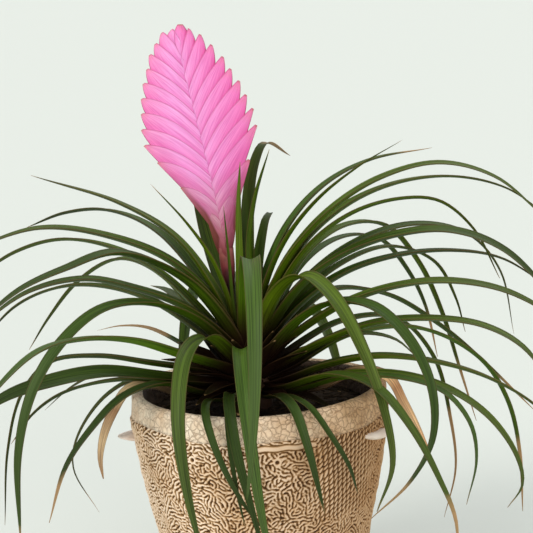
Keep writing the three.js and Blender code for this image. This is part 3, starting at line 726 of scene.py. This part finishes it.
def leaf_finish(name, under_stops, upper_stops, **settings):
    """Leaf skin: a colour along each face, fine lines, bronze margins, a dark base, painted shade round the
    heart and a dry tip.
    """
    finish = new_finish(name, **settings)
    along, across, upper = read_parts(finish, "blade")
    tone = read_mark(finish, "blade", "Alpha")
    lines_across = scaled(tone, 37.0, scaled(across, 17.0))
    lines = streaks(lines_across, scaled(along, 4.0), scaled(tone, 19.0))
    colour = mixed(upper, ramp(along, *under_stops), ramp(along, *upper_stops))
    colour = tinted(colour, ramp(lines, *LEAF_LINES))
    colour = tinted(colour, ramp(tone, *LEAF_TONES))
    from_middle = reckon("ABSOLUTE", reckon("SUBTRACT", across, 0.5))
    colour = mixed(ramp(from_middle, *BRONZE_MARGIN), colour, BRONZE)
    place = place_on(finish)
    # Painted shade: near the heart the leaves turn near black with a red-brown tint, partly the bases' own
    # colour and partly shade painted in.
    from_heart = reckon("DISTANCE", place, HEART, kind="VectorMath", output="Value")
    colour = mixed(ramp(scaled(from_heart, 10.0), *BASE_AND_HEART_SHADE_FADE), BASE_AND_HEART_SHADE, colour)
    from_dry = reckon("SUBTRACT", read_mark(finish, "dry"), 0.6)
    ragged_dry = scaled(noise(place, 120.0, 3.0), 1.6, from_dry)
    colour = mixed(ramp(ragged_dry, (0.0, 0.0), (1.0, 1.0)), colour, DRY_COLOUR)
    coloured(finish, colour)
    bumped(finish, lines, 0.35, 0.0004)
    return finish


crown_corners = [turned(radius, angle, height, CROWN_X)
                 for radius, height in CROWN_PROFILE for angle in around(CROWN_TURNS)]
crown_mesh = mesh_from("crown_stem", crown_corners, tube(len(CROWN_PROFILE), CROWN_TURNS))
crown_skin = new_finish("crown_skin", Roughness=0.6)
coloured(crown_skin, ramp(noise(place_on(crown_skin), 120.0, 4.0), *CROWN_COLOURS))
dressed("crown_stem", crown_mesh, crown_skin, "inner_leaf", "crown")

sheath_skin = leaf_finish("sheath_skin", SHEATH_UNDER, SHEATH_UPPER, Roughness=0.8, Specular_IOR_Level=0.05)
for number in range(SHEATH_COUNT):
    rise = SHEATH_RISES[number % len(SHEATH_RISES)] + leaf_draw.uniform(-6, 6)
    run = math.cos(math.radians(rise))
    climb = math.sin(math.radians(rise))
    length = SHEATH_LENGTH * leaf_draw.uniform(0.75, 1.1)
    foot = SHEATH_LOW + SHEATH_CLIMB * climb
    path = [(SHEATH_REACH + length * share * run, foot + length * share * (climb - SHEATH_SAG * share))
            for share in (0.0, 0.35, 0.7, 1.0)]
    sheath_mesh = blade_mesh(f"sheath_{number + 1}", number * GOLDEN_ANGLE, 0, SHEATH_WIDTH, path)
    dressed(sheath_mesh.name, sheath_mesh, sheath_skin, "inner_leaf")
inner_skin = leaf_finish("inner_leaf_skin", INNER_UNDER_AND_PAINTED_GLOW, INNER_UPPER, Roughness=0.5,
                         Specular_IOR_Level=0.16)
for number, leaf in enumerate(INNER_LEAVES, 1):
    inner_mesh = blade_mesh(f"inner_leaf_{number}", *leaf, dry_tip=INNER_DRY_TIPS.get(number, DRY_TIP))
    dressed(inner_mesh.name, inner_mesh, inner_skin, "inner_leaf")

# Flower stalk. A short stem wrapped in overlapping sheaths, dark red-brown at its foot and pinker where it
# widens into the spike. Low down it is near black, partly its own colour and partly painted shade in the
# heart.
# It stands in the middle of the crown.
SPIKE_Y = 1.0
SPIKE_FOOT = 205.0
STALK_BEND = [(CROWN_X - 4.0, 0.0, 146.0), (-13.0, SPIKE_Y, 178.0), (-14.4, SPIKE_Y, 216.0)]
STALK_STATIONS = 36
STALK_SIDES = 20
STALK_WIDTH = 2.0
STALK_DEPTH = 1.7
STALK_SHEATHS = 4.2
SHEATH_STEP = 0.4
FLARE_WIDTH = 2.3
FLARE_DEPTH = 0.5
STALK_COLOURS_AND_HEART_SHADE = (
    (0.6, (0.02, 0.004, 0.004)), (0.69, (0.1, 0.012, 0.018)), (0.77, (0.26, 0.04, 0.045)),
    (0.84, (0.34, 0.085, 0.07)), (0.93, (0.42, 0.13, 0.12)))


def quadratic(bend, share):
    """A place on a simple curve that leaves its first point towards the second and ends at the third."""
    start, middle, end = (np.array(point) for point in bend)
    return start * (1 - share) ** 2 + middle * 2 * share * (1 - share) + end * share ** 2


stalk_corners = []
for station in range(STALK_STATIONS + 1):
    share = station / STALK_STATIONS
    centre = quadratic(STALK_BEND, share)
    sheath = (share * STALK_SHEATHS) % 1.0
    flare = between(SPIKE_FOOT - 20.0, SPIKE_FOOT + 4.0, centre[2])
    wide = STALK_WIDTH + SHEATH_STEP * sheath * (1 - flare) + FLARE_WIDTH * flare
    deep = STALK_DEPTH + FLARE_DEPTH * flare
    for turn in around(STALK_SIDES):
        stalk_corners.append(centre + np.array([wide * math.cos(turn), deep * math.sin(turn), 0.0]))
stalk_skin = new_finish("stalk_skin", Roughness=0.5)
stalk_place = place_on(stalk_skin)
up_stalk = scaled(measured(stalk_place, "Z"), 14.0, -2.1)
stalk_mottle = ramp(noise(stalk_place, 300.0, 4.0), (0.3, 0.75), (0.7, 1.2))
# Painted shade: the colour darkens to near black towards the foot, partly the sheaths' own dark red-brown and
# partly shade in the heart.
coloured(stalk_skin, tinted(ramp(up_stalk, *STALK_COLOURS_AND_HEART_SHADE), stalk_mottle))
stalk_mesh = mesh_from("stalk_sheaths", stalk_corners, tube(STALK_STATIONS + 1, STALK_SIDES))
dressed("stalk_sheaths", stalk_mesh, stalk_skin, "stalk", "flower_stalk")

# Flower spike. A flat paddle of two ranks of folded pink bracts. Each one clasps the axis, its keel
# outwards and its pointed tip free at the edge. Its upper margins lie over the foot of the bract above.
SPIKE_AXIS = [
    (-14, 205), (-14.5, 222), (-16.5, 240), (-20, 259), (-23.5, 278), (-27, 296), (-31, 316), (-34, 334)]
SPIKE_TOP = (-33.5, 344.0)
BRACT_TIPS = {
    "left": [
        (-39, 341.5), (-44.5, 340), (-48.5, 334), (-52, 328), (-54, 320), (-56.5, 312), (-58, 303.5),
        (-58.5, 295), (-59, 286), (-58, 277), (-51, 267), (-38.5, 252), (-25, 237), (-18, 222),
        (-19.5, 208)],
    "right": [
        (-28, 341.5), (-22, 338), (-16, 332), (-10, 325), (-6, 318), (-1.5, 311), (2, 303),
        (5.5, 295), (7, 285.5), (2, 266), (-6.5, 249), (-9, 230), (-8.6, 209)],
}
TOOTH_WIDTH = 1.2
KEEL_INSET = {"left": 1.5, "right": 5.5}
KEEL_DROP = 24.0
CLOSE_BRACTS = 8
SEAM_TOP = {"left": 335.7, "right": 324.5}
SEAM_SPACING = 8.8
SEAM_BEND = {"left": 0.5, "right": 0.75}
SEAM_RISE = {"left": 0.72, "right": 0.5}
SEAM_STEEPENING = 0.09
CORE_DEPTH = 2.4
OVERLAP = 1.6
BRACT_STATIONS = 26
BRACT_COLUMNS = [0.1, 0.22, 0.36, 0.5, 0.64, 0.78, 0.89, 0.96, 1.0]
SEAM_COLUMNS = [0.0, 0.3, 0.65, 1.2]
SEAM_COLUMN_GAP = 0.025
BRACT_LIFT = {"left": 1.1, "right": 1.6}
MARGIN = 0.3
WIDEST_READING = 20.0
# Lit and shaded copies of the bracts' pink: the right rank is painted darker, as shade from the light on the
# left.
LIT_LEFT_PINKS = (
    (0.0, (0.82, 0.31, 0.65)), (0.45, (0.86, 0.34, 0.7)), (0.85, (0.84, 0.29, 0.58)),
    (0.96, (0.78, 0.25, 0.44)), (1.0, (0.5, 0.18, 0.16)))
SHADED_RIGHT_PINKS = (
    (0.0, (0.84, 0.32, 0.66)), (0.3, (0.85, 0.29, 0.64)), (0.8, (0.84, 0.22, 0.55)),
    (0.96, (0.76, 0.2, 0.4)), (1.0, (0.46, 0.15, 0.13)))
VEIN_SHADES = ((0.33, (0.88, 0.7, 0.82)), (0.62, (1.03, 1.05, 1.03)))
# Painted light and shade across each bract, from its own seam towards the next bract's edge.
SEAM_LIGHT_AND_SHADE = ((0.04, (1.0, 1.08, 1.0)), (0.17, (1.0, 0.98, 0.96)), (0.36, (0.95, 0.66, 0.8)))
# Painted shade in the crease along each seam.
SEAM_SHADE_COLOUR = (0.52, 0.09, 0.24)
KEEL_COLOUR = (0.24, 0.045, 0.04)
FOOT_SHADES = (
    (0.0, (0.3, 0.22, 0.08)), (0.13, (0.4, 0.34, 0.14)), (0.3, (0.62, 0.75, 0.4)),
    (0.56, (0.82, 1.0, 0.75)), (0.88, (1.0, 1.0, 1.0)))


def axis_point(height):
    """The spike's axis at a height, in mm."""
    return (float(out_at(height, SPIKE_AXIS)), 0.0, float(height))


def share_out(side, x, z):
    """How far a place on the spike lies out from the axis, as a share of the way to the outline."""
    middle, edge = out_at(z, SPIKE_AXIS), out_at(z, BRACT_TIPS[side][::-1])
    return min(abs(x - middle) / max(abs(edge - middle), 1.0), 1.0)


def bract_mesh(name, side, seam, keel):
    """A folded bract between its seam and its keel, the same on the spike's two faces."""
    tone = leaf_draw.random()
    corners, readings, outwards = [], [], []
    for station in range(BRACT_STATIONS + 1):
        share = station / BRACT_STATIONS
        upper, lower = quadratic(seam, share), quadratic(keel, share)
        width = float(np.linalg.norm(lower - upper))
        by_seam = [min(column / max(width, 0.01), SEAM_COLUMN_GAP * number)
                   for number, column in enumerate(SEAM_COLUMNS)]
        columns = by_seam + BRACT_COLUMNS
        for face in (-1, 1):
            for column in (columns if face == -1 else columns[::-1]):
                spot = upper + (lower - upper) * column
                lift = BRACT_LIFT[side] * (1 - column) * (1 - share ** 3)
                out = share_out(side, spot[0], spot[2])
                depth = MARGIN + CORE_DEPTH * (1 - out ** 1.8) * (1 - column ** 6) + lift
                corners.append(spot + np.array([0.0, SPIKE_Y + face * depth, 0.0]))
                readings.append((share, column, column * width / WIDEST_READING, tone))
                outwards.append(out)
    faces = closed_tube(BRACT_STATIONS + 1, 2 * len(columns))
    mesh = mesh_from(name, corners, [face[::-1] if side == "left" else face for face in faces])
    marked(mesh, "bract", readings)
    marked(mesh, "right_side", [float(side == "right")] * len(readings))
    marked(mesh, "outwards", outwards)
    return mesh


bract_skin = new_finish("bract_skin", Roughness=0.5, Specular_IOR_Level=0.3, Subsurface_Weight=0.2,
                        Subsurface_Scale=0.003, Subsurface_Radius=(1.0, 0.35, 0.5))
to_tip, to_keel, from_seam = read_parts(bract_skin, "bract")
# Painted light and shade: the left rank of bracts is coloured lighter than the right, as lit by the light
# from the left.
bract_colour = mixed(read_mark(bract_skin, "right_side"), ramp(to_tip, *LIT_LEFT_PINKS),
                     ramp(to_tip, *SHADED_RIGHT_PINKS))
veins = streaks(scaled(to_keel, 22.0), scaled(to_tip, 2.5),
                scaled(read_mark(bract_skin, "bract", "Alpha"), 40.0))
bract_colour = tinted(bract_colour, ramp(veins, *VEIN_SHADES))
# Painted light and shade: each bract is lighter just under its own seam and darker where the next bract's
# raised edge shades it.
bract_colour = tinted(bract_colour, ramp(from_seam, *SEAM_LIGHT_AND_SHADE))
# Painted shade: a thin dark pink line along each seam, in the crease where the bracts overlap.
seam_shade_line = ramp(from_seam, (0.0, 0.8), (0.016, 0.55), (0.038, 0.0))
bract_colour = mixed(seam_shade_line, bract_colour, SEAM_SHADE_COLOUR)
bract_height = measured(place_on(bract_skin), "Z")
up_spike = scaled(bract_height, 16.0, -3.3)
outer_edge = ramp(read_mark(bract_skin, "outwards"), (0.82, 0.0), (1.0, 0.9))
low_edge = reckon("MULTIPLY", ramp(up_spike, (0.45, 1.0), (1.0, 0.0)), outer_edge)
keel_line = reckon("MAXIMUM", low_edge, ramp(to_keel, (0.93, 0.0), (0.985, 0.9)))
bract_colour = mixed(keel_line, bract_colour, KEEL_COLOUR)
coloured(bract_skin, tinted(bract_colour, ramp(up_spike, *FOOT_SHADES)))
bumped(bract_skin, veins, 0.3, 0.0004)

for side, tips in BRACT_TIPS.items():
    inwards = 1.0 if side == "left" else -1.0
    for order in range(len(tips) - 2):
        tip_x, tip_z = tips[order]
        seam_rise = SEAM_RISE[side]
        if side == "left":
            seam_rise = min(max(seam_rise + SEAM_STEEPENING * (order - 3), seam_rise), 1.0)
        seam_tip = (tip_x + inwards * TOOTH_WIDTH, 0.0, tip_z + 0.3)
        foot_x, _, foot_z = axis_point(SEAM_TOP[side] - SEAM_SPACING * order)
        seam_foot = (foot_x - (OVERLAP if side == "right" else 0.0), 0.0, foot_z)
        seam_bend = (seam_tip[0] + (seam_foot[0] - seam_tip[0]) * SEAM_BEND[side], 0.0,
                     seam_foot[2] + (seam_tip[2] - seam_foot[2]) * seam_rise)
        keel_foot = axis_point(max(seam_foot[2] - KEEL_DROP, SPIKE_FOOT))
        keel_x, keel_z = tips[order + 2]
        if order < CLOSE_BRACTS:
            keel_x += inwards * KEEL_INSET[side]
        bract = bract_mesh(f"bract_{side}_{order + 1:02d}", side, (seam_foot, seam_bend, seam_tip),
                           (keel_foot, (keel_x, 0.0, keel_z), (tip_x, 0.0, tip_z - 0.4)))
        dressed(bract.name, bract, bract_skin, "bract", "flower_spike")
top_x, top_z = SPIKE_TOP
foot_x, _, foot_z = axis_point(SEAM_TOP["right"])
top_seam = ((foot_x, 0.0, foot_z), (foot_x - 8.0, 0.0, foot_z + 12.0), (top_x - 1.5, 0.0, top_z))
top_keel = ((foot_x, 0.0, foot_z - 4.0), (foot_x + 9.0, 0.0, foot_z + 8.0), (top_x + 1.5, 0.0, top_z))
top_bract = bract_mesh("bract_top", "right", top_seam, top_keel)
dressed("bract_top", top_bract, bract_skin, "bract", "flower_spike")

# Leaves. Long arching blades with a channel along the top, each clasping the crown with its base. They are
# stiff and leathery, dark green with a grey bloom above, brighter below with painted light shining through,
# and red-brown at the base, with painted shade darkening them round the heart.
LEAVES = {"left": [
    (172, 0, 14, [(14, 181), (38, 221), (70, 243), (121, 261)]),
    (151, 0, 12, [(18, 178), (55, 221), (88, 234), (120, 232), (150, 222)]),
    (185, 0, 16, [(14, 177), (40, 208), (72, 225), (114, 234), (160, 223)]),
    (160, 0, 11, [(24, 171), (50, 197), (78, 213), (112, 219), (145, 211), (180, 190)]),
    (205, 0, 17, [(14, 169), (38, 201), (76, 221), (107, 216), (134, 208), (162, 191)]),
    (147, 0, 9, [(26, 164), (59, 196), (88, 204), (120, 189), (146, 164), (164, 142)]),
    (193, 0, 16, [(14, 162), (36, 183), (62, 196), (91, 205), (124, 201), (158, 181)]),
    (170, 0, 11, [(24, 162), (56, 185), (84, 194), (110, 194), (136, 184), (162, 160)]),
    (218, 0, 12, [(16, 158), (40, 181), (69, 194), (98, 195), (124, 182), (144, 160), (156, 128), (159, 80)]),
    (228, 0, 15, [(20, 147), (56, 163), (93, 179), (128, 187), (158, 187), (184, 176), (208, 158)]),
    (198, 0, 10, [(26, 145), (58, 154), (88, 162), (116, 162), (133, 146), (143, 116), (148, 72)]),
    (208, 0, 15, [(26, 138), (57, 147), (92, 156), (126, 156), (150, 152), (174, 140)]),
    (187, 0, 11, [(29, 134), (58, 142), (86, 143), (109, 138), (125, 128), (139, 111)]),
    (165, 0, 9, [(34, 135), (67, 141), (92, 140), (111, 131), (128, 117)]),
    (219, 0, 11, [(34, 136), (62, 147), (88, 145), (110, 132), (129, 114), (142, 86)]),
    (178, -6, 7, [(30, 133), (62, 141), (84, 131), (103, 106), (107, 86), (94, 58)]),
    (150, 0, 6, [(26, 145), (46, 156), (68, 164), (88, 164), (105, 160)]),
    (140, 0, 20, [(20, 148), (38, 168), (53, 181), (64, 186), (74, 187)]),
], "right": [
    (15, 0, 13, [(13, 193), (28, 225), (50, 247), (79, 260), (117, 264)]),
    (-8, 0, 14, [(13, 180), (26, 207), (50, 234), (80, 253), (114, 261), (145, 252), (174, 226)]),
    (12, 0, 14, [(16, 184), (38, 216), (65, 236), (95, 246), (128, 247), (159, 238), (183, 221)]),
    (-3, 0, 12, [(14, 176), (36, 212), (62, 232), (90, 240), (113, 238), (132, 221), (146, 192)]),
    (36, 0, 8, [(18, 172), (46, 205), (76, 218), (106, 214), (132, 187), (150, 152), (162, 118), (176, 78)]),
    (46, 0, 7.5, [(20, 166), (48, 196), (84, 208), (120, 202), (148, 176), (164, 150), (174, 116)]),
    (22, 0, 9, [(24, 170), (54, 195), (92, 206), (122, 194), (136, 170), (142, 148)]),
    (17, 0, 10, [(22, 176), (62, 208), (104, 219), (140, 210), (160, 186), (168, 146)]),
    (-14, 0, 16, [(14, 164), (34, 192), (60, 211), (91, 222), (121, 224), (150, 213), (184, 178)]),
    (5, 0, 13, [(16, 162), (34, 181), (60, 197), (91, 205), (121, 206), (150, 200), (178, 181)]),
    (-18, 0, 15, [(15, 152), (38, 170), (64, 185), (92, 194), (120, 197), (152, 192), (192, 171)]),
    (32, 0, 9, [(24, 160), (58, 181), (98, 174), (138, 149), (170, 122), (214, 80)]),
    (-28, 0, 14, [(18, 145), (46, 161), (80, 175), (116, 180), (146, 178), (168, 168), (186, 146)]),
    (-43, 0, 12, [(20, 156), (44, 178), (68, 190), (96, 190), (120, 174), (133, 151), (133, 124),
                  (117, 97), (88, 70)]),
    (-8, 0, 9, [(24, 148), (46, 159), (68, 164), (86, 160), (98, 149)]),
    (-21, 0, 14, [(22, 137), (50, 148), (80, 154), (114, 152), (144, 144), (170, 129), (188, 107)]),
    (-33, 0, 12, [(24, 134), (61, 145), (100, 149), (130, 144), (154, 131), (169, 112), (172, 96),
                  (163, 82)]),
    (-39, 0, 10, [(28, 133), (70, 147), (108, 151), (136, 146), (151, 131), (154, 112), (147, 86)]),
    (-52, 0, 11, [(34, 138), (78, 153), (112, 151), (138, 134), (157, 112), (169, 92), (170, 70)]),
    (24, 0, 8, [(26, 150), (62, 164), (98, 161), (122, 134), (132, 96), (135, 62), (126, 32)]),
    (13, 0, 9, [(26, 142), (62, 158), (104, 158), (141, 136), (158, 108), (165, 74), (166, 38)]),
], "front": [
    (-84.6, -6.5, 12.5, [(14, 172), (38, 206), (70, 221), (102, 206), (123, 168), (132, 134), (136, 108)]),
    (-94.8, 10.5, 10.5, [(17, 150), (38, 164), (62, 168), (86, 154), (101, 120), (107, 82), (108, 56)]),
    (-52, 0, 14, [(14, 166), (34, 194), (55, 205), (78, 196), (100, 172), (116, 142), (122, 112), (108, 82)]),
    (-114, 12, 12, [(24, 156), (56, 175), (90, 172), (114, 146), (124, 108), (128, 72)]),
    (-101.5, 15, 8, [(34, 137), (60, 144), (77, 140), (87, 119), (89, 91), (88, 58)]),
    (-100.5, 7, 5, [(34, 133), (60, 139.5), (76, 136.5), (84, 118), (85, 96), (84, 76)]),
    (-73.5, 10, 8, [(34, 135), (60, 141), (76, 137), (85, 120), (87, 100), (86, 80)]),
    (-70, 22, 6, [(34, 135), (60, 140.5), (77, 137.5), (88, 123), (91, 106), (86, 86)]),
    (-115.5, 30, 6, [(34, 134), (60, 140), (76, 136), (85, 118), (87, 94), (87, 72)]),
], "back": [
    (92, 0, 14, [(20, 160), (48, 182), (82, 186), (112, 168), (134, 130), (142, 90)]),
    (110, 0, 13, [(20, 158), (48, 178), (80, 180), (108, 160), (126, 126), (132, 88)]),
    (66, 0, 12, [(24, 150), (58, 166), (92, 162), (122, 138), (142, 104), (148, 74)]),
    (100, 0, 12, [(26, 142), (58, 154), (90, 148), (116, 122), (128, 88), (130, 60)]),
]}
LEAF_TWIST = 13.0
LEAF_ROLLS = {("left", 12): -60.0}
FINE_LEAVES = {"left": {}, "right": {2: 0.4, 3: 0.3, 4: 0.3, 14: 0.3, 17: 0.3, 18: 0.3, 19: 0.3},
               "front": {3: 0.3}, "back": {}}
DRY_TIPS = {"left": {15: 0.16, 16: 0.1, 17: 0.5}, "front": {1: -0.1}, "back": {},
            "right": {1: 0.12, 5: 0.16, 6: 0.14, 12: 0.16, 14: 0.16, 19: 0.16, 20: 0.3, 21: 0.2}}
# Painted shade: these leaves lie low, under the crown and the other leaves, and take the darkest tone.
SHADED_LEAVES = {"left": (11, 12, 14, 15), "right": (), "front": (5, 6, 7, 8, 9), "back": ()}
# Painted light: the undersides are brighter green, with light shining through the leaf painted in.
LEAF_UNDER_AND_PAINTED_GLOW = (
    (0.0, (0.03, 0.006, 0.002)), (0.08, (0.03, 0.014, 0.003)), (0.2, (0.075, 0.14, 0.003)),
    (0.55, (0.055, 0.105, 0.006)), (1.0, (0.04, 0.06, 0.01)))
LEAF_UPPER = (
    (0.0, (0.02, 0.005, 0.002)), (0.08, (0.02, 0.012, 0.003)), (0.2, (0.06, 0.11, 0.005)),
    (0.42, (0.055, 0.103, 0.011)), (0.6, (0.061, 0.103, 0.02)), (1.0, (0.053, 0.08, 0.022)))

leaf_skin = leaf_finish("leaf_skin", LEAF_UNDER_AND_PAINTED_GLOW, LEAF_UPPER, Roughness=0.5, Specular_IOR_Level=0.16)
for side, leaves in LEAVES.items():
    for number, leaf in enumerate(leaves, 1):
        name = f"leaf_{side}_{number:02d}"
        roll = math.radians(leaf_draw.gauss(LEAF_ROLLS.get((side, number), 0.0), LEAF_TWIST))
        leaf_mesh = blade_mesh(name, *leaf, roll, FINE_LEAVES[side].get(number, 0.0),
                               DRY_TIPS[side].get(number, DRY_TIP), number in SHADED_LEAVES[side])
        dressed(f"blade_{side}_{number:02d}", leaf_mesh, leaf_skin, "leaf", name)

# Dried leaves. Two of the oldest, lowest leaves have died back and hang over the rim, still fixed to the
# crown. They have dried to a matt, papery tan with brown blotches and stand on edge.
DRIED_LEAVES = [
    (190, 0, 11, [(40, 131), (58, 139.5), (70, 138), (79, 127), (86, 113), (89, 99), (88, 87)]),
    (-9, 0, 11, [(42, 132), (63, 141.5), (80, 138.5), (89, 123), (97, 107), (104, 91)]),
]
DRIED_ROLLS = [-75.0, 75.0]
DRIED_UNDER = (
    (0.0, (0.1, 0.05, 0.02)), (0.4, (0.45, 0.27, 0.16)), (0.58, (0.7, 0.48, 0.36)),
    (0.68, (0.36, 0.18, 0.11)), (0.8, (0.68, 0.46, 0.34)), (1.0, (0.4, 0.2, 0.12)))
DRIED_UPPER = (
    (0.0, (0.1, 0.05, 0.02)), (0.4, (0.5, 0.32, 0.2)), (0.58, (0.78, 0.56, 0.42)),
    (0.66, (0.4, 0.21, 0.13)), (0.82, (0.74, 0.52, 0.4)), (1.0, (0.42, 0.22, 0.14)))

dried_skin = leaf_finish("dried_leaf_skin", DRIED_UNDER, DRIED_UPPER, Roughness=0.7)
for number, (leaf, roll) in enumerate(zip(DRIED_LEAVES, DRIED_ROLLS), 1):
    name = f"leaf_dried_{number:02d}"
    dried_mesh = blade_mesh(name, *leaf, math.radians(roll))
    dressed(f"blade_dried_{number:02d}", dried_mesh, dried_skin, "dried_leaf", name)
